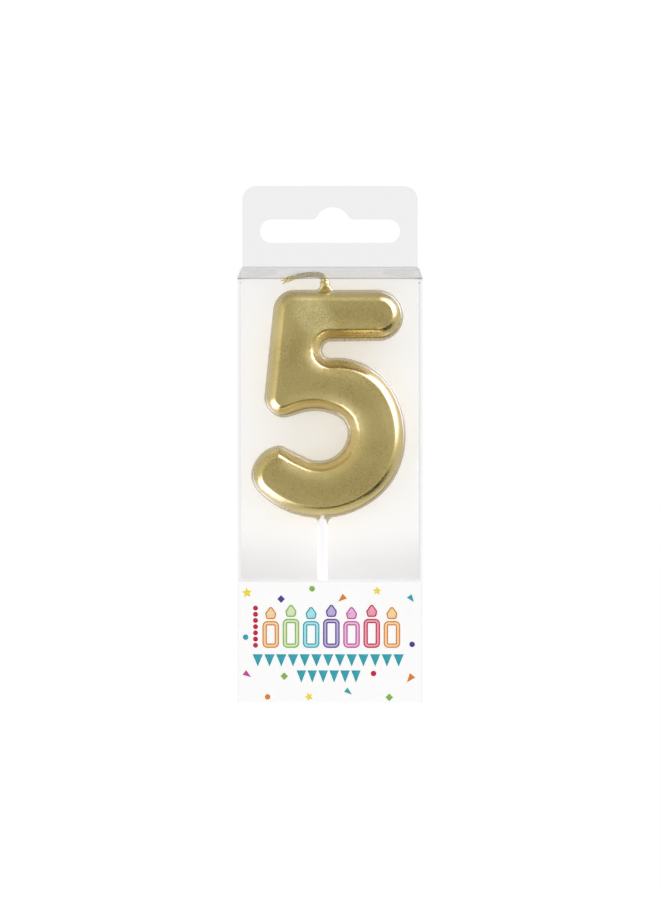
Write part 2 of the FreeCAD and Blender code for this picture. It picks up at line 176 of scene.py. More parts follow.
class Shell:
    """Points in millimetres and faces, gathered from several surfaces, then made one mesh."""

    def __init__(self):
        self.points, self.faces = [], []

    def add(self, points, faces):
        first = sum(len(p) for p in self.points)
        self.points.append(np.asarray(points, float).reshape(-1, 3))
        self.faces.extend((np.asarray(faces) + first).tolist())
        return self

    def piece(self, name, material, closed=True):
        """The finished object: doubles merged and, on a closed shell, faces turned outwards."""
        mesh = bpy.data.meshes.new(name)
        mesh.from_pydata((np.concatenate(self.points) * MM).tolist(), [], self.faces)
        work = bmesh.new()
        work.from_mesh(mesh)
        bmesh.ops.remove_doubles(work, verts=work.verts, dist=2e-7)
        if closed:
            bmesh.ops.recalc_face_normals(work, faces=work.faces)
        for face in work.faces:
            face.smooth = True
        work.to_mesh(mesh)
        work.free()
        mesh.materials.append(material)
        made = bpy.data.objects.new(name, mesh)
        bpy.context.scene.collection.objects.link(made)
        return made


def thicken(piece, thickness, easing=0.0):
    """Give a sheet its thickness on the side away from its normals, and ease its cut edges."""
    wall = piece.modifiers.new("thickness", "SOLIDIFY")
    wall.thickness, wall.offset, wall.use_even_offset = thickness * MM, -1.0, True
    if easing:
        rim = piece.modifiers.new("rim", "BEVEL")
        rim.width, rim.segments, rim.limit_method = easing * MM, 1, "ANGLE"
        rim.angle_limit, rim.harden_normals = math.radians(50), True
    return piece


def place(piece, body, slot, *nodes):
    """Hand a finished piece to its body, standing for some CAD nodes. The slot is not used."""
    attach(piece, body)
    if nodes:
        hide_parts(*nodes)
    return piece


def revolve(profile, centre, sides=48, ridge=0.0):
    """Rings of radius r at height z about a vertical line, with two faint mould ridges.

    A point is (cx + r cos a, cy + r sin a, z), and r grows by the ridge where |sin a| is small.
    """
    radius, height = np.array(profile, float).T
    angle = np.arange(sides) * 2 * math.pi / sides
    grown = radius[:, None] + np.minimum(radius, 1.0)[:, None] * ridge * np.exp(
        -(np.sin(angle) / 0.09) ** 2)
    points = np.stack([
        centre[0] + grown * np.cos(angle), centre[1] + grown * np.sin(angle),
        np.broadcast_to(height[:, None], grown.shape)], -1)
    return points, grid_faces(len(radius), sides, closed=True)


def tube(line, radius, sides=14):
    """Rings round a line of points, drawn in to a point at both ends so that the tube closes.

    The ring's two axes are the cross products of the line's direction with the y axis and
    with the first axis.
    """
    ahead = np.gradient(line, axis=0)
    ahead /= np.linalg.norm(ahead, axis=1, keepdims=True)
    side = np.cross(ahead, (0.0, 1.0, 0.0))
    side /= np.linalg.norm(side, axis=1, keepdims=True)
    up = np.cross(side, ahead)
    angle = np.arange(sides) * 2 * math.pi / sides
    radius = np.broadcast_to(radius, len(line)).copy()
    radius[[0, -1]] = 0.0
    ring = np.cos(angle)[None, :, None] * side[:, None] + np.sin(angle)[None, :, None] * up[:, None]
    return line[:, None] + radius[:, None, None] * ring, grid_faces(len(line), sides, closed=True)


def spline(points, count):
    """A quadratic B-spline: each span blends three points by (1-t)^2/2, (1+2t-2t^2)/2, t^2/2."""
    points = np.array(points, float)
    points = np.concatenate([points[:1], points, points[-1:]])
    u = np.linspace(0, len(points) - 2, count)
    span = np.minimum(u.astype(int), len(points) - 3)
    t = (u - span)[:, None]
    return ((1 - t) ** 2 * points[span] + (1 + 2 * t - 2 * t * t) * points[span + 1]
            + t * t * points[span + 2]) / 2


def within(points, loop):
    """Which points a closed loop goes round: those where its sides' turns add up to a circle."""
    reach = loop[None] - points[:, None]
    following = np.roll(reach, -1, 1)
    cross = reach[..., 0] * following[..., 1] - reach[..., 1] * following[..., 0]
    turn = np.arctan2(cross, (reach * following).sum(-1)).sum(1)
    return np.abs(turn) > math.pi


def flat_sheet(edge, holes=(), inside=None):
    """A flat sheet cut along closed loops: its points and triangles, in the sheet's plane."""
    loops = [np.asarray(edge, float)] + [np.asarray(h, float) for h in holes]
    points, lines, first = [], [], 0
    for loop in loops:
        index = np.arange(len(loop))
        lines.append(np.stack([index, np.roll(index, -1)], -1) + first)
        points.append(loop)
        first += len(loop)
    if inside is not None and len(inside):
        points.append(inside)
    made = delaunay_2d_cdt(
        [Vector(p) for p in np.concatenate(points).tolist()], np.concatenate(lines).tolist(), [],
        1, 1e-6)
    flat = np.array([tuple(p) for p in made[0]])
    faces = np.array([tuple(f) for f in made[2]])
    for hole in loops[1:]:
        faces = faces[~within(flat[faces].mean(1), hole)]
    corners = flat[faces]
    one, two = corners[:, 1] - corners[:, 0], corners[:, 2] - corners[:, 0]
    flipped = one[:, 0] * two[:, 1] - one[:, 1] * two[:, 0] < 0
    faces[flipped] = faces[flipped][:, ::-1]
    return flat, faces


def hex_points(low, high, spacing):
    """Evenly spaced points in staggered rows over a rectangle."""
    x = np.arange(low[0], high[0], spacing)
    z = np.arange(low[1], high[1], spacing * math.sqrt(3) / 2)
    grid = np.stack(np.meshgrid(x, z), -1)
    grid[1::2, :, 0] += spacing / 2
    return grid.reshape(-1, 2)


# ---------------------------------------------------------------- shading

class Signal:
    """A node's output on which Python's operators add Math nodes."""

    def __init__(self, recipe, socket):
        self.recipe, self.socket = recipe, socket

    def maths(self, operation, *values):
        return self.recipe.add(
            "ShaderNodeMath", {"operation": operation}, dict(enumerate((self, *values))))

    def __add__(self, other):
        return self.maths("ADD", other)

    def __mul__(self, other):
        return self.maths("MULTIPLY", other)

    def __sub__(self, other):
        return self.maths("SUBTRACT", other)

    def __rsub__(self, other):
        return self * -1.0 + other

    def __truediv__(self, other):
        return self.maths("DIVIDE", other)

    def __abs__(self):
        return self.maths("ABSOLUTE")

    __radd__, __rmul__ = __add__, __mul__

    def above(self, low, high):
        """0 under low, 1 over high, and a smooth step between."""
        return self.recipe.add(
            "ShaderNodeMapRange", {"interpolation_type": "SMOOTHSTEP"},
            {"Value": self, "From Min": low, "From Max": high})

    def smaller(self, other):
        return self.maths("MINIMUM", other)

    def larger(self, other):
        return self.maths("MAXIMUM", other)

    def axis(self, name):
        return self.recipe.add("ShaderNodeSeparateXYZ", {}, {0: self}, out="XYZ".index(name))


class Recipe:
    """A node tree as it is written."""

    def __init__(self, tree):
        self.tree = tree
        tree.nodes.clear()

    def add(self, kind, settings=None, values=None, out=0):
        """Add a node: its settings first, then its sockets' values or links."""
        made = self.tree.nodes.new(kind)
        for name, value in (settings or {}).items():
            setattr(made, name, value)
        for name, value in (values or {}).items():
            if isinstance(value, Signal):
                self.tree.links.new(value.socket, made.inputs[name])
            else:
                made.inputs[name].default_value = value
        return Signal(self, made.outputs[out]) if len(made.outputs) else None

    def where(self):
        """The place in the object's own coordinates, in metres."""
        return self.add("ShaderNodeTexCoord", out="Object")

    def noise(self, scale, detail=2.0, roughness=0.5, stretch=(1.0, 1.0, 1.0)):
        """Noise whose features are about 1 / scale metres across, stretched along the axes."""
        spread = self.add("ShaderNodeMapping", {}, {"Vector": self.where(), "Scale": stretch})
        return self.add("ShaderNodeTexNoise", {}, {
            "Vector": spread, "Scale": scale, "Detail": detail, "Roughness": roughness})

    def grains(self, scale):
        """A number from 0 to 1 that jumps from one small cell to the next."""
        cells = {"Vector": self.where(), "Scale": scale}
        return self.add("ShaderNodeTexVoronoi", {}, cells, out=1).axis("X")

    def blend(self, share, one, two):
        """A colour between two, by a share."""
        return self.add("ShaderNodeMix", {"data_type": "RGBA"}, {0: share, 6: one, 7: two}, out=2)

    def bump(self, height, distance, strength=1.0):
        return self.add("ShaderNodeBump", {}, {
            "Height": height, "Distance": distance, "Strength": strength})

    def surface(self, **values):
        named = {name.replace("_", " "): value for name, value in values.items()}
        return self.add("ShaderNodeBsdfPrincipled", {}, named)


def material(name):
    """A new material and the recipe of its nodes."""
    made = bpy.data.materials.new(name)
    made.use_nodes = True
    return made, Recipe(made.node_tree)


def finish(recipe, shader):
    recipe.add("ShaderNodeOutputMaterial", {}, {"Surface": shader})


def rgba(colour):
    return (*tuple(colour)[:3], 1.0)


def grey(level):
    return (level, level, level, 1.0)


def gold_paint(look):
    """Metallic gold paint on wax: pearl grain, cloudy patches, a glittery spot that is partly a
    painted highlight, a paler fin.
    """
    made, r = material("gold_paint")
    here = r.where()
    grain = r.grains(look.grain / MM)
    flecks = r.noise(look.grain * 0.6 / MM, 2.0)
    clouds = r.noise(0.09 / MM, 2.0)
    fin = 1 - abs(here.axis("Y")).above(0.50 * MM, 0.62 * MM)
    shine = (grain - 0.5) * 0.35 + (flecks - 0.5) * 0.5 + (clouds - 0.5) * 0.9 + 0.5
    paint = r.blend(shine.above(0.0, 1.0), rgba(look.deep), rgba(look.bright))
    # The thickest glitter lies where the bar meets the stem, in a slanted oval, its brightness
    # partly a painted highlight.
    sideways, upwards = (
        (here.axis(axis) - centre * MM) / (reach * MM)
        for axis, centre, reach in zip("XZ", GLITTER_HIGHLIGHT_PLACE, GLITTER_HIGHLIGHT_REACH))
    slant = sideways + upwards * 0.35
    spot = 1 - (slant * slant + upwards * upwards).above(0.15, 1.1)
    glitter_highlight = spot * ((flecks * 0.7 + grain * 0.3).above(0.40, 0.62) * 0.45 + 0.30)
    colour = r.blend(fin * 0.75, r.blend(glitter_highlight, paint, rgba(look.glitter_highlight)), rgba(look.rim))
    relief = grain * 0.35 + flecks
    finish(r, r.surface(
        Base_Color=colour, Metallic=1 - fin * 0.55,
        Roughness=clouds * 0.10 + (grain - 0.5) * 0.06 + look.roughness,
        Normal=r.bump(relief, 0.006 * MM, 0.5),
        Coat_Weight=0.6, Coat_Roughness=0.2, Coat_IOR=1.5))
    return made


def clear_film(look, name, glare, clear=1.0):
    """Clear PET sheet: it mirrors more at a grazing angle and whitens along its creases."""
    made, r = material(name)
    glance = r.add("ShaderNodeFresnel", {}, {"IOR": look.index}).smaller(glare)
    height = r.where().axis("Z")
    crease = 1 - abs(height - CREASE * MM).above(0.06 * MM, 0.22 * MM)
    waves = r.noise(0.05 / MM, 2.0)
    body = r.surface(
        Base_Color=r.blend(waves, rgba(look.tint), grey(0.12)),
        Roughness=waves * 0.03 + 0.07, Normal=r.bump(waves, 0.3 * MM, 0.08))
    share = (glance + look.haze).larger(crease * look.crease)
    finish(r, r.add("ShaderNodeMixShader", {}, {
        0: share, 1: r.add("ShaderNodeBsdfTransparent", {}, {0: grey(clear)}), 2: body}))
    return made


def white_card(look):
    """Smooth white board with a faint fibre, a little unevenness in tone, painted shade above its
    shelf and a painted glow.
    """
    made, r = material("white_card")
    fibre = r.noise(2.2 / MM, 4.0, 0.6, (1.0, 1.0, 0.35))
    tone = r.noise(0.12 / MM, 2.0)
    shade = (fibre - 0.5) * 0.5 + (tone - 0.5) * 0.7 + 0.5
    board = r.blend(shade.above(0.0, 1.0), rgba(look.shade), rgba(look.white))
    # Inside the pack the board is painted with shade, darker towards the corner that it makes with
    # its shelf.
    here = r.where()
    depth, height = here.axis("Y"), here.axis("Z")
    inside = depth.above((CARD_FRONT + 0.45) * MM, (CARD_FRONT + 0.55) * MM)
    behind = depth.above((CARD_BACK - 0.2) * MM, (CARD_BACK - 0.1) * MM)
    corner = (1 - height.above((SHELF - 0.5) * MM, (SHELF + 13.0) * MM)) * height.above(
        (SHELF - 0.6) * MM, (SHELF - 0.3) * MM)
    board = r.blend(corner * inside * (1 - behind) * look.corner_shade, board, (0.35, 0.34, 0.33, 1.0))
    # Painted light: the board glows of its own, white inside the pack and weaker on the backing's
    # outer face.
    lit = r.blend(inside, rgba(look.white), board)
    finish(r, r.surface(
        Base_Color=board, Roughness=fibre * 0.12 + 0.5, Normal=r.bump(fibre, 0.02 * MM, 0.25),
        Specular_IOR_Level=0.35, Emission_Strength=look.painted_glow,
        Emission_Color=r.blend(behind, lit, grey(look.back_painted_glow))))
    return made


def ink(name, colour, painted_glow):
    """A printed ink: its colour with a fine screen, sitting on the card with a low gloss."""
    made, r = material(name)
    screen = r.noise(5.0 / MM, 2.0, 0.6)
    paler = tuple(c + (1 - c) * 0.04 for c in tuple(colour)[:3])
    # Painted light: the ink glows in its own colour.
    finish(r, r.surface(
        Base_Color=r.blend(screen.above(0.25, 0.75), rgba(colour), rgba(paler)),
        Roughness=screen * 0.1 + 0.42, Normal=r.bump(screen, 0.006 * MM, 0.2),
        Specular_IOR_Level=0.2, Emission_Color=rgba(colour), Emission_Strength=painted_glow))
    return made


def pick_plastic(look):
    """Moulded white plastic: fine flow marks along the stem and a soft gloss."""
    made, r = material("pick_plastic")
    flow = r.noise(1.6 / MM, 3.0, 0.5, (1.0, 1.0, 0.06))
    # Painted light: the plastic glows white of its own.
    finish(r, r.surface(
        Base_Color=r.blend(flow.above(0.2, 0.8), rgba(look.stem_shade), rgba(look.stem)),
        Roughness=flow * 0.12 + 0.22, Normal=r.bump(flow, 0.02 * MM, 0.3),
        Subsurface_Weight=0.15, Subsurface_Radius=(0.001, 0.001, 0.001),
        Emission_Color=rgba(look.stem), Emission_Strength=look.painted_glow))
    return made


def waxed_cotton(look):
    """Plaited cotton, waxed and speckled with gold paint, which is densest at the wick's foot."""
    made, r = material("waxed_cotton")
    speckle = r.noise(3.0 / MM, 3.0, 0.65)
    fibre = r.noise(7.0 / MM, 3.0, 0.6)
    foot = 1 - r.where().axis("Z").above(94.9 * MM, 95.9 * MM)
    gilded = (speckle + foot * 0.35).above(0.53, 0.57)
    tone = speckle * 0.9 + fibre * 1.1 + foot * 0.05 - 0.05
    thread = r.blend(tone.above(0.80, 1.02), rgba(look.thread_shade), rgba(look.thread))
    finish(r, r.surface(
        Base_Color=r.blend(gilded, thread, rgba(look.flecks)), Metallic=gilded * 0.85,
        Roughness=fibre * 0.3 + 0.28, Normal=r.bump(fibre + speckle, 0.06 * MM, 0.6)))
    return made


# ---------------------------------------------------------------- what a user may change

def length_property(label, description, value):
    return FloatProperty(
        name=label, description=description, default=value * MM, unit="LENGTH",
        subtype="DISTANCE", precision=5)


def colour_property(label, description, value):
    return FloatVectorProperty(
        name=label, description=description, default=value, size=3, min=0.0, max=1.0,
        subtype="COLOR")


class NumeralSettings(bpy.types.PropertyGroup):
    """The wax numeral's section and its paint."""
    spacing: length_property("Spacing", "Longest step along the numeral's outline", 0.3)
    depth: length_property("Depth", "Wax thickness at the middle of a stroke", 9.0)
    fin: length_property("Fin width", "How far the mould fin stands out", 0.55)
    fin_half: length_property("Fin half thickness", "Half the mould fin's thickness", 0.45)
    wall_tilt: FloatProperty(
        name="Wall tilt", description="Steepest tilt of the wall", default=math.radians(81),
        subtype="ANGLE")
    crown_tilt: FloatProperty(
        name="Crown tilt", description="Tilt where the face starts", default=math.radians(58),
        subtype="ANGLE")
    wall_end: length_property("Wall end", "Where the wall gives way to the face", 0.85)
    draft: length_property("Draft", "How much broader the walls of the inner edges are", 0.5)
    rounding: length_property("Rounding", "How broadly the face rounds over", 1.7)
    deep: colour_property("Deep gold", "Paint between the pearl grains", (0.50, 0.375, 0.105))
    bright: colour_property("Bright gold", "Paint on the pearl grains", (0.70, 0.56, 0.195))
    # Partly real glitter, partly a painted highlight.
    glitter_highlight: colour_property("Glitter", "Paint where the glitter is thickest", (1.0, 0.86, 0.36))
    rim: colour_property("Rim", "Thin paint on the mould fin", (0.82, 0.73, 0.50))
    grain: FloatProperty(
        name="Grain", description="Pearl grains per millimetre", default=5.5, min=0.1)
    roughness: FloatProperty(
        name="Roughness", description="Roughness of the paint", default=0.25, min=0.0, max=1.0)


class WickSettings(bpy.types.PropertyGroup):
    """The plaited wick."""
    strand: length_property("Strand radius", "Radius of one strand", 0.34)
    sway: length_property("Sway", "How far a strand swings to each side", 0.33)
    weave: length_property("Weave", "How far a strand rises and dips", 0.15)
    pitch: length_property("Pitch", "Length of one full plait", 3.4)
    fibres: IntProperty(name="Fibres", description="Loose fibres at the tip", default=9, min=1)
    thread: colour_property("Thread", "Waxed cotton", (0.95, 0.92, 0.78))
    thread_shade: colour_property("Thread shade", "Cotton between its fibres", (0.30, 0.25, 0.09))
    flecks: colour_property("Flecks", "Gold paint on the cotton", (0.66, 0.53, 0.19))


class PickSettings(bpy.types.PropertyGroup):
    """The plastic stem."""
    radius: length_property("Radius", "Radius of the stem", 1.1)
    ridge: length_property("Ridge", "Height of the mould ridges", 0.03)
    # Painted light: the plastic glows of its own.
    painted_glow: FloatProperty(
        name="Glow", description="Light let through the plastic", default=0.42, min=0.0)
    stem: colour_property("Stem", "White plastic", (0.95, 0.95, 0.95))
    stem_shade: colour_property("Stem shade", "White plastic in its flow marks", (0.90, 0.90, 0.90))


class FilmSettings(bpy.types.PropertyGroup):
    """The clear sheet of the hang pack."""
    thickness: length_property("Thickness", "Thickness of the sheet", 0.3)
    bulge: length_property("Bulge", "How far a wall bows out", 0.08)
    corner: length_property("Corner", "Radius of the upright folds", 0.45)
    tint: colour_property("Tint", "Colour of the sheet's own haze", (0.10, 0.101, 0.103))
    index: FloatProperty(name="Index", description="Refractive index", default=1.38, min=1.0)
    glare: FloatProperty(
        name="Glare", description="Most of the view that one face hides at a glancing angle",
        default=0.08, min=0.0, max=1.0)
    lid_glare: FloatProperty(
        name="Lid glare", description="The same for the sloping lid", default=0.08, min=0.0,
        max=1.0)
    flap_glare: FloatProperty(
        name="Flap glare", description="The same for the dust flaps", default=0.03, min=0.0,
        max=1.0)
    # Painted shade in part: the lid lets less through than the rest of the sheet, partly for its
    # slanting path through the film, partly for the grey of its glancing reflection.
    lid_clear: FloatProperty(
        name="Lid clearness", description="Light that one face of the lid lets through",
        default=0.92, min=0.0, max=1.0)
    haze: FloatProperty(name="Haze", description="Milkiness of the sheet", default=0.013, min=0.0)
    crease: FloatProperty(
        name="Crease", description="Whitening along the creases", default=0.30, min=0.0, max=1.0)


class CardSettings(bpy.types.PropertyGroup):
    """The folded card insert."""
    board: length_property("Board", "Thickness of the card", 0.4)
    fold: length_property("Fold", "Outer radius of a fold", 0.45)
    # Painted light: the card glows of its own, and less on the backing's outer face.
    painted_glow: FloatProperty(
        name="Glow", description="Light let through the card", default=0.45, min=0.0)
    back_painted_glow: FloatProperty(
        name="Back glow", description="Share of the glow on the backing's outer face",
        default=0.3, min=0.0)
    # Painted shade: how much darker the card is painted above its shelf.
    corner_shade: FloatProperty(
        name="Dull", description="How much duller the card is above its shelf", default=0.36,
        min=0.0, max=1.0)
    white: colour_property("White", "Card", (0.93, 0.925, 0.915))
    shade: colour_property("Shade", "Card in its darker fibres", (0.895, 0.89, 0.88))


class PrintSettings(bpy.types.PropertyGroup):
    """The printed colours on the card's front."""
    ink: length_property("Ink", "How far the ink stands off the card", 0.012)
    line: length_property("Line", "Width of a drawn band", 1.0)
    outline: length_property("Outline", "Width of a band's two darker edges", 0.28)
    pale: FloatProperty(
        name="Pale", description="Power of an ink's colour that gives the bands' cores",
        default=0.25, min=0.0, max=1.0)
    # Painted light: the ink glows in its own colour.
    painted_glow: FloatProperty(name="Glow", description="Light let through the ink", default=0.4, min=0.0)
    yellow: colour_property("Yellow", "Stars", (0.9, 0.7, 0.03))
    purple: colour_property("Purple", "Purple shapes", (0.065, 0.03, 0.22))
    green: colour_property("Green", "Green shapes", (0.22, 0.44, 0.06))
    orange: colour_property("Orange", "Orange shapes", (0.68, 0.2, 0.015))
    teal: colour_property("Teal", "Teal shapes", (0.02, 0.34, 0.39))
    magenta: colour_property("Magenta", "Magenta shapes", (0.5, 0.05, 0.27))
    red: colour_property("Red", "Red shapes", (0.5, 0.0, 0.035))


class StudioSettings(bpy.types.PropertyGroup):
    """Floor, light and camera."""
    distance: length_property("Distance", "From the camera to the pack's front", 600.0)
    height: length_property("Height", "Height of the camera", 56.4)
    lens: FloatProperty(name="Lens", description="Focal length, mm", default=107.8, min=1.0)
    ambient: FloatProperty(name="Ambient", description="Light all round", default=0.75, min=0.0)
    field: FloatProperty(
        name="Field", description="Level that gloss mirrors all round", default=0.88, min=0.0)
    window: FloatProperty(
        name="Window", description="Strength of the mirrored right window", default=5.0, min=0.0)
    side_window: FloatProperty(
        name="Side window", description="Strength of the mirrored left windows", default=3.4,
        min=0.0)
    dark: FloatProperty(
        name="Dark", description="Depth of the dark patch mirrored from below", default=0.84,
        min=0.0, max=1.0)


# ---------------------------------------------------------------- the candle

def numeral_outline():
    """The numeral's walk with its last straight, last arc and first straight worked out."""
    strokes = np.array(NUMERAL_WALK)
    strokes[-1, 0] = -360.0 - strokes[:-1, 0].sum()
    miss = Walk(strokes, (0.0, 0.0)).corner[-1]
    side = math.radians(-strokes[-1, 0])
    rise = -miss[1] / math.sin(side)
    strokes[-2, 1] = rise
    strokes[0, 1] = -miss[0] - rise * math.cos(side)
    return Walk(strokes, BAR_START)


def wax_section(look):
    """Heights of the wax above the parting plane, by distance in from the outline.

    A steep wall above the fin, and from wall_end on a face whose tilt falls as a bell curve;
    the height is the running sum of the tilt's tangent, scaled to reach half the depth.
    """
    half, fin, end = look.depth / MM / 2, look.fin / MM, look.wall_end / MM
    fin_half = look.fin_half / MM
    across = np.linspace(fin, 7.0, 1200)
    past = np.maximum(across - end, 0.0) / (look.rounding / MM)
    steep = np.exp(-((across - fin) / (end - fin)) ** 4)
    tilt = look.crown_tilt * np.exp(-past ** 2) + (look.wall_tilt - look.crown_tilt) * steep
    rise = np.tan(tilt) * np.clip((across - fin) / 0.12, 0.12, 1.0)
    height = np.concatenate([[0.0], np.cumsum((rise[1:] + rise[:-1]) / 2 * np.diff(across))])
    height = fin_half + (half - fin_half) * height / height[-1]

    def height_at(inset, draft):
        """The height where a draft makes the wall broader and moves the face inwards."""
        wall = fin + (inset - fin) * (end - fin) / (end - fin + draft)
        return np.interp(np.where(inset < end + draft, wall, inset - draft), across, height)

    return height_at


def walk_share(walk, steps):
    """1 along the numeral's inner edges, 0 along its outer ones, with smooth changes between.

    The inner edges are the bar's underside with the notch, and the whole bowl.
    """
    def rise(start, run):
        share = np.clip((steps - start) / run, 0, 1)
        return share ** 2 * (3 - 2 * share)

    notch = rise(walk.foot[2] - 4.0, 5.0) * (1 - rise(walk.foot[4] + 3.0, 12.0))
    bowl = rise(walk.foot[10] + 0.5, 5.0) * (1 - rise(walk.foot[16] - 3.0, 6.0))
    return notch + bowl


def settle(height, faces, fixed, rounds=30):
    """Even out heights by moving every free point to the mean of its neighbours, repeatedly."""
    pairs = np.concatenate([faces[:, [0, 1]], faces[:, [1, 2]], faces[:, [2, 0]]])
    pairs = np.concatenate([pairs, pairs[:, ::-1]])
    count = np.bincount(pairs[:, 0], minlength=len(height))
    for _ in range(rounds):
        mean = np.bincount(pairs[:, 0], height[pairs[:, 1]], len(height)) / count
        height = np.where(fixed, height, mean)
    return height


def wax_numeral(look):
    """Rings of the section carried round the outline, closed by an evened-out face each way."""
    walk = numeral_outline()
    steps = walk.steps(look.spacing / MM, 6.0, closed=True)
    base, left = walk.at(steps)
    inward = -left
    draft = look.draft / MM * walk_share(walk, steps)
    height_at = wax_section(look)
    fin, fin_half = look.fin / MM, look.fin_half / MM
    # Insets from the outline: the fin's rounding, its flat, the steep wall, the last ring.
    fin_round, fin_flat, wall, ring_inset = 0.2, 0.36, 1.3, 2.6
    turn = np.radians(np.array([0.0, 22.5, 45.0, 67.5, 90.0]))
    edge = np.stack([fin_round * (1 - np.cos(turn)), fin_half * np.sin(turn)], -1)
    insets = np.concatenate([np.linspace(fin, wall, 10), np.linspace(wall, ring_inset, 14)[1:]])
    inset = np.concatenate([edge[:, 0], [fin_flat], insets])
    rim = np.broadcast_to(np.append(edge[:, 1], fin_half)[:, None], (6, len(base)))
    height = np.concatenate([rim, height_at(insets[:, None], draft[None])])
    inset = np.concatenate([inset[:0:-1], inset])
    height = np.concatenate([height[:0:-1], -height])
    flat = base[None] + inset[:, None, None] * inward[None]
    points = np.stack([flat[..., 0], height, flat[..., 1]], -1)
    shell = Shell().add(points, grid_faces(len(inset), len(base), closed=True))

    def to_outline(spots):
        """Each spot's distance to the outline, and the nearest point's number there."""
        gap = spots[:, None] - base[None]
        distance = np.hypot(gap[..., 0], gap[..., 1])
        return distance.min(1), distance.argmin(1)

    inside = hex_points(base.min(0), base.max(0), 0.42)
    depth, nearest = to_outline(inside)
    enclosed = ((inside - base[nearest]) * inward[nearest]).sum(1) > 0
    face, triangles = flat_sheet(flat[-1], inside=inside[enclosed & (depth > ring_inset + 0.2)])
    depth, nearest = to_outline(face)
    fixed = depth < ring_inset + 0.05
    rise = height_at(np.where(fixed, ring_inset, depth), draft[nearest])
    rise = settle(rise, triangles, fixed)
    for side in (-1.0, 1.0):
        shell.add(np.stack([face[:, 0], side * rise, face[:, 1]], -1), triangles)
    return shell.add(*pick_collar()).add(*wick_cone())


def pick_collar():
    """The fin flared down over the pick's shoulder, as squarish ovals drawn in at the foot.

    A ring's point is (w c^0.6, t s^0.6) for the cosine c and sine s of its angle, signs kept.
    """
    z = np.linspace(39.45, 42.4, 26)
    wide = 1.16 + 0.24 * np.clip(z - 39.5, 0, 1) + 1.9 * np.clip((z - 40.2) / 1.5, 0, 1) ** 2
    drawn = np.sqrt(np.clip((z - 39.44) / 0.22, 0.0, 1.0))
    angle = np.arange(40) * 2 * math.pi / 40
    oval = np.stack([np.cos(angle), np.sin(angle)])
    oval = np.sign(oval) * np.abs(oval) ** 0.6
    points = np.stack([
        PICK_X + (wide * drawn)[:, None] * oval[0], (0.46 * drawn)[:, None] * oval[1],
        np.broadcast_to(z[:, None], (len(z), 40))], -1)
    points[[0, -1]] = points[[0, -1]].mean(1, keepdims=True)
    return points, grid_faces(len(z), 40, closed=True)


def wick_cone():
    """The wax drawn up round the wick: a trumpet that narrows as it rises, lumpy with paint.

    The radius falls off exponentially above the bar, and both ends close as a square root.
    """
    z = np.linspace(91.9, 95.3, 40)
    trumpet = 1.08 + 1.1 * np.exp(-np.clip(z - 92.5, 0, None) / 0.42)
    trumpet *= 1 + 0.05 * np.sin(z * 5.1) * (z > 93)
    trumpet *= np.sqrt(np.clip((95.32 - z) / 0.5, 0, 1)) * np.sqrt(np.clip((z - 91.89) / 0.2, 0, 1))
    trumpet[[0, -1]] = 0.0
    points, faces = revolve(np.stack([trumpet, z], -1), (WICK_X, 0.0), 36)
    # At its foot it is hardly thicker than the fin, so that the two run into each other.
    thick = 0.70 + 0.7 * np.clip(z - 92.6, 0, None)
    points[..., 1] *= np.minimum(1.0, thick / np.maximum(trumpet, 0.01))[:, None]
    return points, faces


def plaited_wick(look):
    """Three strands that swing by sin p across the wick and rise by sin 2p, a third apart."""
    shell = Shell()
    line = spline(WICK_ROUTE, 170)[:160]
    ahead = np.gradient(line, axis=0)
    ahead /= np.linalg.norm(ahead, axis=1, keepdims=True)
    across = np.cross(ahead, (0.0, 1.0, 0.0))
    across /= np.linalg.norm(across, axis=1, keepdims=True)
    up = np.cross(across, ahead)
    walked = np.concatenate([[0.0], np.cumsum(np.linalg.norm(np.diff(line, axis=0), axis=1))])
    # The plait is drawn together where it leaves the wax and again at its cut end.
    ends = [0, 1.2, walked[-1] - 1.5, walked[-1]]
    tight = np.interp(walked, ends, [0.6, 1.0, 1.0, 0.75])[:, None]
    for third in range(3):
        phase = 2 * math.pi * (walked / (look.pitch / MM) + third / 3)
        swing = (look.sway / MM) * np.sin(phase)[:, None] * across
        lift = (look.weave / MM) * np.sin(2 * phase)[:, None] * up
        # The plait's broad side faces forward, so the swing lies across the pack.
        strand = line + tight * (swing + lift)
        end = np.clip((walked[-1] - walked) / 1.1, 0, 1)
        shell.add(*tube(strand, (look.strand / MM) * (0.45 + 0.55 * np.sqrt(end))))
    # Loose fibres in two prongs, spread by the golden angle and bent outwards beyond the tip.
    tip, way = line[-1], ahead[-1]
    reach = np.linspace(-1.6, 0.75, 14)[:, None]
    for fibre in range(look.fibres):
        angle = fibre * math.pi * (3 - math.sqrt(5))
        lean = 0.12 + 0.25 * math.sqrt((fibre + 0.5) / look.fibres)
        prong = math.copysign(1.0, math.cos(angle))
        out = prong * across[-1] + 0.5 * math.sin(angle) * up[-1]
        spread = 0.16 + lean * np.clip(reach + 0.7, 0, None) ** 1.4 * 0.55
        length = 0.55 + 0.45 * ((fibre * 7) % 5) / 4
        strand = tip + np.where(reach > 0, reach * length, reach) * way + spread * out
        shell.add(*tube(strand, 0.10, 8))
    return shell


def pick_stem(look):
    """A round stem: a blunt point, a straight shank and a bullet-shaped shoulder and spigot."""
    radius = look.radius / MM
    turn = np.linspace(0, 1, 14)
    shoulder = np.stack([0.62 + (radius - 0.62) * np.sqrt(1 - turn ** 2.2), 39.0 + 2.0 * turn], -1)
    swell = np.linspace(0, 1, 8)
    point = np.stack([0.32 + (radius - 0.32) * swell ** 0.8, 0.62 + 2.9 * swell], -1)
    profile = np.concatenate([
        [[0.0, 0.5], [0.22, 0.5], [0.29, 0.53]], point,
        np.stack([np.full(12, radius), np.linspace(5.0, 38.5, 12)], -1), shoulder,
        [[0.62, 45.0], [0.62, 49.8], [0.5, 50.0], [0.0, 50.0]]])
    return Shell().add(*revolve(profile, (PICK_X, 0.0), 48, look.ridge / MM))


# ---------------------------------------------------------------- the clear pack

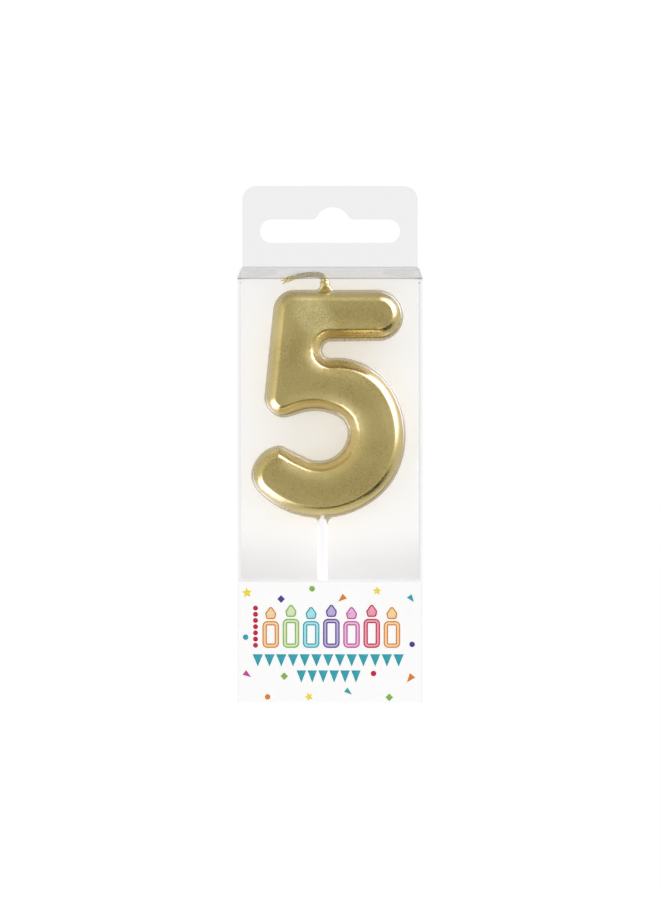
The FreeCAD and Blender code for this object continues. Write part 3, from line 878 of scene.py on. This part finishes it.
def slot_loop():
    """The hanging slot: round ends, and a hump over its middle whose feet are eased."""
    flat, upright = SLOT_WIDTH - 2 * SLOT_CORNER, SLOT_HEIGHT - 2 * SLOT_CORNER
    swing = math.acos((HUMP - HUMP_RISE + HUMP_FOOT) / (HUMP + HUMP_FOOT))
    reach = (HUMP + HUMP_FOOT) * math.sin(swing)
    degrees, end = math.degrees(swing), ((90, SLOT_CORNER), (0, upright), (90, SLOT_CORNER))
    strokes = (
        (0, flat), *end, (0, flat / 2 - HUMP_SHIFT - reach), (-degrees, HUMP_FOOT),
        (2 * degrees, HUMP), (-degrees, HUMP_FOOT), (0, flat / 2 + HUMP_SHIFT - reach), *end)
    walk = Walk(strokes, (-flat / 2, SLOT_FOOT))
    return walk.at(walk.steps(1.5, 9.0, closed=True))[0]


def tab_outline(foot, shoulder=None, heights=()):
    """A hang tab with round upper corners; with a shoulder it stands on a wider panel.

    The panel's side edges carry a point at each given height, to meet the walls there.
    """
    side = (0, TAB_TOP - TAB_CORNER - foot)
    corner, top = (90, TAB_CORNER), (0, 2 * (TAB_HALF - TAB_CORNER))
    walk = Walk((side, corner, top, corner, side), (TAB_HALF, foot), 90)
    loop = walk.at(walk.steps(3.0, 9.0))[0]
    if shoulder is None:
        return loop
    left, right = shoulder
    heights = np.asarray(heights, float)
    sides = [np.stack([np.full(len(heights), left), heights[::-1]], -1),
             np.stack([np.full(len(heights), right), heights], -1)]
    return np.concatenate([loop, *sides])


def bow(across, along, amount):
    """A wall's bulge: a sine arch both ways, nothing at the folds."""
    across, along = np.clip(across, 0, 1), np.clip(along, 0, 1)
    return amount * np.sin(math.pi * across) * np.sin(math.pi * along)


def sleeve_wrap(look):
    """One sheet wrapped round: glue flap, right wall, front, left wall, then the back and tab."""
    corner, bulge = look.corner / MM, look.bulge / MM
    half, deep, inner = HALF_WIDTH, HALF_DEPTH, HALF_DEPTH - look.thickness / MM
    flap = 11.0
    walk = Walk((
        (0, flap - corner), (-90, corner), (0, inner + deep - 2 * corner), (-90, corner),
        (0, 2 * (half - corner)), (-90, corner), (0, 2 * deep - 2 * corner), (-90, corner)),
        (half - flap, inner))
    steps = walk.steps(2.0, 15.0)
    places, left = walk.at(steps)
    slope = math.tan(ROOF_SLOPE)
    x, y = places.T
    wall_top = CREASE + (y + deep) * slope - 0.45
    share = np.clip((np.abs(x) - (half - corner)) / corner, 0, 1)
    front = np.where(y < 0, CREASE - 0.02, TAB_FOOT)
    top = np.where(steps < flap - corner, 95.0, front * (1 - share) + wall_top * share)
    rows = np.linspace(0, 1, 25)
    z = rows[:, None] * top[None]
    stroke = np.clip(np.searchsorted(walk.foot, steps, "right") - 1, 0, len(walk.run) - 1)
    along = (steps - walk.foot[stroke]) / walk.run[stroke]
    flat = (walk.bend[stroke] == 0) & (steps > flap)
    out = np.where(flat, bow(along, 0.5, 1.0), 0.0)[None] * bow(0.5, rows, bulge)[:, None]
    # The walk is clockwise seen from above, so its left-hand normals point outwards.
    points = np.stack([x + out * left[:, 0], y + out * left[:, 1], z], -1)
    shell = Shell().add(points, grid_faces(len(rows), len(steps))[:, ::-1])
    heights = rows * TAB_FOOT
    loop = tab_outline(TAB_FOOT + 0.4, (-(half - corner), half - 0.1), heights)
    spots = hex_points((-18.0, 3.0), (18.0, 100.0), 3.0)
    flat, triangles = flat_sheet(loop, [slot_loop()], spots)
    out = bow((flat[:, 0] + half) / (2 * half), flat[:, 1] / TAB_FOOT, bulge * 0.5)
    out = np.where(flat[:, 1] < TAB_FOOT, out, 0.0)
    return shell.add(np.stack([flat[:, 0], deep + out, flat[:, 1]], -1), triangles[:, ::-1])


def roof_height(y, look):
    """Height of the roof's upper face above a depth y."""
    film = look.thickness / MM / math.cos(ROOF_SLOPE)
    return CREASE + film + (y + HALF_DEPTH) * math.tan(ROOF_SLOPE)


def roof_lid(look):
    """The sloping lid: a crease bent up from the front wall, then a flat that narrows backwards."""
    bend, front, back = 0.35, -HALF_DEPTH, 7.28
    foot = roof_height(front + bend, look) - bend / math.cos(ROOF_SLOPE)
    flat_start = front + bend - bend * math.sin(ROOF_SLOPE)
    strokes = ((math.degrees(ROOF_SLOPE) - 90, bend),
               (0, (back - flat_start) / math.cos(ROOF_SLOPE)))
    walk = Walk(strokes, (front, foot), 90)
    steps = walk.steps(1.0, 15.0)
    places, normals = walk.at(steps)
    half = HALF_WIDTH - (HALF_WIDTH - TAB_HALF) * steps / walk.length
    across = np.linspace(-1, 1, 31)
    sag = bow((across + 1) / 2, 0.5, 1.0)[None] * bow(0.5, steps / walk.length, 0.10)[:, None]
    points = np.stack([
        half[:, None] * across[None],
        places[:, :1] - sag * normals[:, :1], places[:, 1:] - sag * normals[:, 1:]], -1)
    return Shell().add(points, grid_faces(len(steps), len(across)))


def front_tab(look):
    """The front layer of the hang tab, its foot curving forward to meet the lid."""
    face, bend = 7.35, 0.4
    foot = roof_height(face - bend, look) + bend / math.cos(ROOF_SLOPE)
    loop = tab_outline(foot)
    across = np.linspace(TAB_HALF, -TAB_HALF, 21)[1:-1]
    lower = np.stack([-across, np.full(len(across), foot)], -1)
    flat, triangles = flat_sheet(np.concatenate([loop, lower]), [slot_loop()])
    shell = Shell().add(np.stack([flat[:, 0], np.full(len(flat), face), flat[:, 1]], -1), triangles)
    angle = np.linspace(0, math.pi / 2 - ROOF_SLOPE, 7)
    width = np.linspace(-TAB_HALF, TAB_HALF, 21)
    points = np.stack(np.broadcast_arrays(
        width[None], (face - bend + bend * np.cos(angle))[:, None],
        (foot - bend * np.sin(angle))[:, None]), -1)
    return shell.add(points, grid_faces(len(angle), len(width))[:, ::-1])


def dust_flap(look, side):
    """A flap under the lid: four corners in the lid's plane, blended both ways, edges eased."""
    reach, film = 8.65, look.thickness / MM
    length = (2 * HALF_DEPTH - 2 * film - 0.05) / math.cos(ROOF_SLOPE)
    u, v = np.meshgrid(np.linspace(0, 1, 13), np.linspace(0, 1, 13))
    x = 20.6 - (reach - 0.05) * u
    low = 0.55 + reach * u
    high = length - 0.35 - 0.9 * u ** 3
    along = low + (high - low) * v
    droop = 0.1 + 0.06 * np.sin(math.pi * u)
    y = -HALF_DEPTH + along * math.cos(ROOF_SLOPE) + droop * math.sin(ROOF_SLOPE)
    z = CREASE + along * math.sin(ROOF_SLOPE) - droop * math.cos(ROOF_SLOPE)
    faces = grid_faces(13, 13)
    return Shell().add(np.stack([side * x, y, z], -1), faces[:, ::-1] if side > 0 else faces)


# ---------------------------------------------------------------- the card and its print

def folded_card(look):
    """One strip of card, drawn flat as (across, along) and bent along its four folds.

    Along the strip: glue tab up, shelf forward, front down, floor back, backing up.
    """
    fold, half, hole_radius = look.fold / MM, CARD_HALF, 1.2
    bend = (90, fold)
    walk = Walk((
        (0, SHELF - GLUE_TAB_FOOT - fold), bend, (0, GLUE_TAB_FACE - CARD_FRONT - 2 * fold), bend,
        (0, SHELF - 2 * fold), bend, (0, CARD_BACK - CARD_FRONT - 2 * fold), bend,
        (0, BACKING_TOP - fold)), (GLUE_TAB_FACE, GLUE_TAB_FOOT), 90)
    steps = walk.steps(4.0, 15.0)
    hole_at = SHELF - GLUE_TAB_FOOT - fold + fold * math.pi / 2 + (GLUE_TAB_FACE - fold)
    hole = regular(PICK_X, hole_at, hole_radius, 40)
    rows = np.stack([np.full(len(steps), half), steps], -1)
    edge = np.concatenate([rows, rows[::-1] * (-1, 1)])
    across, along = np.meshgrid(np.linspace(-half, half, 15)[1:-1], steps[1:-1])
    inside = np.stack([across.ravel(), along.ravel()], -1)
    inside = inside[np.hypot(inside[:, 0] - PICK_X, inside[:, 1] - hole_at) > 1.5 * hole_radius]
    flat, triangles = flat_sheet(edge, [hole], inside)
    folded, _ = walk.at(flat[:, 1])
    points = np.stack([flat[:, 0], folded[:, 0], folded[:, 1]], -1)
    return Shell().add(points, triangles[:, ::-1])


def star(x, z, reach, spin):
    """Ten points round a place, at the full reach and at 0.44 of it by turns."""
    angle = np.arange(10) * math.pi / 5 + math.pi / 2 + spin
    radius = reach * np.where(np.arange(10) % 2, 0.44, 1.0)
    return np.stack([x + radius * np.cos(angle), z + radius * np.sin(angle)], -1)


def regular(x, z, reach, sides, spin=0.0):
    """A regular polygon's corners, evenly spaced round a circle from its top."""
    angle = np.arange(sides) * 2 * math.pi / sides + math.pi / 2 + spin
    return np.stack([x + reach * np.cos(angle), z + reach * np.sin(angle)], -1)


# Scattered print: (ink, kind, x, z, reach, spin), in millimetres and radians.
CONFETTI = (
    ("yellow", "star", -18.5, 24.6, 1.25, 0.1), ("yellow", "star", 10.5, 25.0, 1.05, 0.0),
    ("yellow", "star", -4.7, 1.4, 1.05, 0.4), ("purple", "diamond", -10.9, 23.2, 0.86, 0.0),
    ("green", "circle", -4.0, 25.5, 0.64, 0.0), ("teal", "circle", -18.8, 14.7, 0.62, 0.0),
    ("purple", "circle", 18.3, 13.1, 0.62, 0.0), ("green", "diamond", -10.2, 6.0, 0.86, 0.0),
    ("green", "diamond", 13.2, 1.3, 0.86, 0.0), ("red", "circle", 9.7, 6.6, 0.62, 0.0),
    ("orange", "circle", -13.9, 1.4, 0.62, 0.0),
)
# Scattered triangles: an ink and three corners.
SPLINTERS = (
    ("orange", (2.8, 24.4), (1.8, 22.6), (3.8, 23.3)),
    ("teal", (18.2, 24.3), (17.1, 23.5), (18.7, 22.5)),
    ("magenta", (-18.7, 7.4), (-19.5, 6.3), (-17.6, 5.8)),
    ("orange", (17.8, 6.7), (17.1, 4.6), (19.0, 5.7)),
    ("teal", (3.9, 3.5), (3.1, 2.5), (4.9, 1.9)),
)


def confetti_shape(kind, x, z, reach, spin):
    """A star, or the polygon that its kind stands for."""
    if kind == "star":
        return star(x, z, reach, spin)
    return regular(x, z, reach, {"diamond": 4, "circle": 28}[kind], spin)


def candle_icon(x, width, height):
    """A drawn candle: a rounded upright and, above it, a flame, as two closed walks."""
    half, foot, corner = width / 2, 12.3, 1.1
    top = foot + height
    upright = rounded_polygon(
        ((x - half, foot), (x + half, foot), (x + half, top), (x - half, top)), corner)
    base = top + 0.4
    flame = rounded_polygon(
        ((x - 1.0, base), (x + 1.0, base), (x + 1.25, base + 1.3), (x, base + 3.1),
         (x - 1.25, base + 1.3)), (0.6, 0.6, 0.5, 0.15, 0.5))
    return upright, flame


def ribbon(walk, near, far):
    """The band between two distances to the left of a closed walk."""
    places, left = walk.at(walk.steps(0.6, 10.0, closed=True))
    rings = np.stack([places + near * left, places + far * left])
    return rings.reshape(-1, 2), grid_faces(2, len(places), closed=True)


def pennants(x_from, x_to, top, count):
    """Small flags hanging side by side from a line, as triangles in one row."""
    pitch, drop = (x_to - x_from) / count, 2.75
    x = x_from + pitch * (np.arange(count) + 0.5)
    offset = np.array([[-0.44 * pitch, 0.0], [0.0, -drop], [0.44 * pitch, 0.0]])
    corner = np.stack([x, np.full(count, top)], -1)[:, None] + offset[None]
    return corner.reshape(-1, 2), np.arange(3 * count).reshape(-1, 3)


class Print:
    """Flat shapes on the card's front, gathered by ink."""

    def __init__(self, depth):
        self.depth, self.shells = depth, {}

    def add(self, name, flat, faces):
        shell = self.shells.setdefault(name, Shell())
        flat = np.asarray(flat, float)
        shell.add(np.stack([flat[:, 0], np.full(len(flat), self.depth), flat[:, 1]], -1), faces)

    def loop(self, name, flat):
        """A filled shape from its corners."""
        self.add(name, flat, np.arange(len(flat))[None])


def printed_front(look):
    """Confetti all over, a row of candles of two heights, a column of dots, rows of flags."""
    line, outline, clearance = look.line / MM, look.outline / MM, 0.004
    sheet = Print(CARD_FRONT - look.ink / MM - clearance)
    for name, kind, x, z, reach, spin in CONFETTI:
        sheet.loop(name, confetti_shape(kind, x, z, reach, spin))
    for name, *corners in SPLINTERS:
        sheet.loop(name, corners)
    inks = ("orange", "green", "teal", "purple", "magenta", "red", "orange")
    for index, name in enumerate(inks):
        upright, flame = candle_icon(-13.2 + 4.5 * index, 3.7, 6.0 + 0.5 * (index % 2))
        sheet.add(name, *ribbon(upright, 0.0, outline))
        sheet.add(name + "_pale", *ribbon(upright, outline, line - outline))
        sheet.add(name, *ribbon(upright, line - outline, line))
        sheet.add(name, *ribbon(flame, 0.0, outline))
        places, left = flame.at(flame.steps(0.6, 10.0, closed=True))
        sheet.loop(name + "_pale", places + outline * left)
    for index in range(7):
        sheet.loop("red", regular(-16.6, 12.9 + 1.38 * index, 0.56, 20))
    sheet.add("teal", *pennants(-17.4, 16.6, 10.9, 13))
    sheet.add("teal", *pennants(-7.6, 7.0, 7.3, 6))
    return sheet.shells


# ---------------------------------------------------------------- the operators

class CANDLE_OT_numeral(bpy.types.Operator):
    """Build the gold wax numeral with its mould fin, pick collar and wick cone"""
    bl_idname = "candle.numeral"
    bl_label = "Wax numeral"

    def execute(self, context):
        look = context.scene.candle_numeral
        place(wax_numeral(look).piece("wax_five", gold_paint(look)), "candle", "gold_wax",
              "wax_numeral")
        return {"FINISHED"}


class CANDLE_OT_wick(bpy.types.Operator):
    """Build the plaited wick with its frayed tip"""
    bl_idname = "candle.wick"
    bl_label = "Wick"

    def execute(self, context):
        look = context.scene.candle_wick
        piece = plaited_wick(look).piece("plaited_wick", waxed_cotton(look))
        place(piece, "candle", "wick_cotton", "wick")
        return {"FINISHED"}


class CANDLE_OT_pick(bpy.types.Operator):
    """Build the white plastic pick"""
    bl_idname = "candle.pick"
    bl_label = "Pick"

    def execute(self, context):
        look = context.scene.candle_pick
        place(pick_stem(look).piece("pick_stem", pick_plastic(look)), "candle", "pick_plastic",
              "pick")
        return {"FINISHED"}


class CANDLE_OT_pack(bpy.types.Operator):
    """Build the clear sleeve, its lid, both layers of the hang tab and the dust flaps"""
    bl_idname = "candle.pack"
    bl_label = "Clear hang pack"

    def execute(self, context):
        look = context.scene.candle_film
        film = clear_film(look, "clear_film", look.glare)
        # The lid's film is darker than the rest: partly its slanting path through the sheet, partly
        # painted shade for the grey of its glancing reflection.
        lid_film = clear_film(look, "lid_film", look.lid_glare, look.lid_clear)
        flap_film = clear_film(look, "flap_film", look.flap_glare)

        def sheet(shell, name, paint):
            piece = shell.piece(name, paint, closed=False)
            return thicken(piece, look.thickness / MM, FILM_EASING)

        place(sheet(sleeve_wrap(look), "sleeve_wrap", film), "sleeve", "clear_film",
              "sleeve_front_panel", "sleeve_back_panel", "sleeve_left_panel",
              "sleeve_right_panel", "glue_flap")
        place(sheet(roof_lid(look), "roof_lid", lid_film), "roof", "clear_film", "roof_panel")
        place(sheet(front_tab(look), "tab_layer", film), "front_tab", "clear_film",
              "hang_tab_front")
        for name, side in (("left", -1.0), ("right", 1.0)):
            place(sheet(dust_flap(look, side), "flap_" + name, flap_film), name + "_flap",
                  "clear_film", "dust_flap_" + name)
        return {"FINISHED"}


class CANDLE_OT_card(bpy.types.Operator):
    """Build the folded card insert"""
    bl_idname = "candle.card"
    bl_label = "Card insert"

    def execute(self, context):
        look = context.scene.candle_card
        strip = folded_card(look).piece("card_strip", white_card(look), closed=False)
        place(thicken(strip, look.board / MM, CARD_EASING), "card_insert", "white_card",
              "card_front_panel", "card_back_panel", "card_bottom_panel", "card_shelf",
              "card_glue_tab")
        return {"FINISHED"}


class CANDLE_OT_print(bpy.types.Operator):
    """Print confetti, drawn candles and pennants on the card's front"""
    bl_idname = "candle.print"
    bl_label = "Card print"

    def execute(self, context):
        look = context.scene.candle_print
        for name, shell in printed_front(look).items():
            colour = tuple(getattr(look, name.replace("_pale", "")))
            if name.endswith("_pale"):
                colour = tuple(max(c, 0.012) ** look.pale for c in colour)
            paint = ink("ink_" + name, colour, look.painted_glow)
            piece = shell.piece("print_" + name, paint, closed=False)
            place(thicken(piece, look.ink / MM), "card_insert", "printed_card")
        return {"FINISHED"}


class CANDLE_OT_studio(bpy.types.Operator):
    """Set up the pale floor, the soft light all round and the camera"""
    bl_idname = "candle.studio"
    bl_label = "Studio"

    def execute(self, context):
        look, scene = context.scene.candle_studio, context.scene
        scene.view_settings.view_transform = "Standard"
        scene.cycles.transparent_max_bounces = 48
        camera = bpy.data.cameras.new("camera")
        camera.lens, camera.clip_start, camera.clip_end = look.lens, 0.01, 20.0
        seen = bpy.data.objects.new("camera", camera)
        seen.location = (0.0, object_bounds()[0][1] - look.distance, look.height)
        seen.rotation_euler = (math.pi / 2, 0.0, 0.0)
        scene.collection.objects.link(seen)
        scene.camera = seen

        floor_material, r = material("floor")
        mottle = r.noise(0.004 / MM, 2.0)
        shade = r.blend(mottle, grey(0.96), grey(0.98))
        finish(r, r.surface(
            Base_Color=grey(0.06), Roughness=0.9, Specular_IOR_Level=0.0,
            Emission_Color=shade, Emission_Strength=1.0))
        half = 3.0
        corners = np.array([[-half, -half], [half, -half], [half, half], [-half, half]]) / MM
        floor = Shell().add(np.insert(corners, 2, -0.02, axis=1), [[0, 1, 2, 3]])
        floor = floor.piece("floor", floor_material, closed=False)
        floor.visible_glossy = floor.visible_diffuse = False
        floor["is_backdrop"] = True
        self.light(scene, look)
        return {"FINISHED"}

    def light(self, scene, look):
        """Light by direction: even all round, two soft bright windows, one dark side."""
        world = bpy.data.worlds.new("studio")
        world.use_nodes = True
        scene.world = world
        world.cycles.sampling_method = "NONE"
        r = Recipe(world.node_tree)
        way = r.add("ShaderNodeTexCoord", out="Generated")

        def facing(x, y, z):
            unit = Vector((x, y, z)).normalized()
            return r.add("ShaderNodeVectorMath", {"operation": "DOT_PRODUCT"},
                         {0: way, 1: tuple(unit)}, out=1)

        front, below = facing(0.0, -1.0, 0.0), facing(0.30, 0.0, -0.95)
        left = facing(-0.71, -0.42, -0.56).larger(facing(-0.79, 0.03, -0.62))
        right = facing(0.76, -0.22, 0.60)
        windows = (right.above(0.66, 0.96) * look.window
                   + left.above(0.80, 0.97) * look.side_window)
        dark = front.above(-0.35, 0.0) * (1 - front.above(0.66, 0.86)) * below.above(0.55, 0.80)
        # The field is lower straight in front of the pack, and higher on its left.
        field = look.field - front.above(0.84, 0.99) * 0.32
        field = field + facing(-0.95, -0.35, 0.25).above(0.65, 0.98) * 0.15
        mirrored = field + windows - dark * look.dark
        rays = r.add("ShaderNodeLightPath", out="Is Glossy Ray")
        seen = r.add("ShaderNodeLightPath", out="Is Camera Ray")
        strength = rays * mirrored + (1 - rays) * look.ambient
        strength = seen + (1 - seen) * strength
        cool = r.blend(windows.above(0.1, 2.5), grey(1.0), (0.82, 0.92, 1.75, 1.0))
        tone = r.blend(rays, grey(1.0), cool)
        mixed = r.add("ShaderNodeBackground", {}, {"Color": tone, "Strength": strength})
        r.add("ShaderNodeOutputWorld", {}, {"Surface": mixed})


OPERATORS = (
    CANDLE_OT_numeral, CANDLE_OT_wick, CANDLE_OT_pick, CANDLE_OT_card, CANDLE_OT_print,
    CANDLE_OT_pack, CANDLE_OT_studio)
SETTINGS = {
    "candle_numeral": NumeralSettings, "candle_wick": WickSettings, "candle_pick": PickSettings,
    "candle_film": FilmSettings, "candle_card": CardSettings, "candle_print": PrintSettings,
    "candle_studio": StudioSettings}


class CANDLE_PT_panel(bpy.types.Panel):
    """The candle's tools"""
    bl_idname = "CANDLE_PT_panel"
    bl_label = "Numeral candle"
    bl_space_type = "VIEW_3D"
    bl_region_type = "UI"
    bl_category = "Candle"

    def draw(self, context):
        for tool in OPERATORS:
            self.layout.operator(tool.bl_idname)


def register():
    for kind in (*SETTINGS.values(), *OPERATORS, CANDLE_PT_panel):
        bpy.utils.register_class(kind)
    for name, kind in SETTINGS.items():
        setattr(bpy.types.Scene, name, PointerProperty(type=kind))


def unregister():
    for name in SETTINGS:
        delattr(bpy.types.Scene, name)
    for kind in reversed((*SETTINGS.values(), *OPERATORS, CANDLE_PT_panel)):
        bpy.utils.unregister_class(kind)


def main():
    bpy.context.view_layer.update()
    register()
    for tool in OPERATORS:
        group, name = tool.bl_idname.split(".")
        getattr(getattr(bpy.ops, group), name)()


if __name__ == "__main__":
    main()
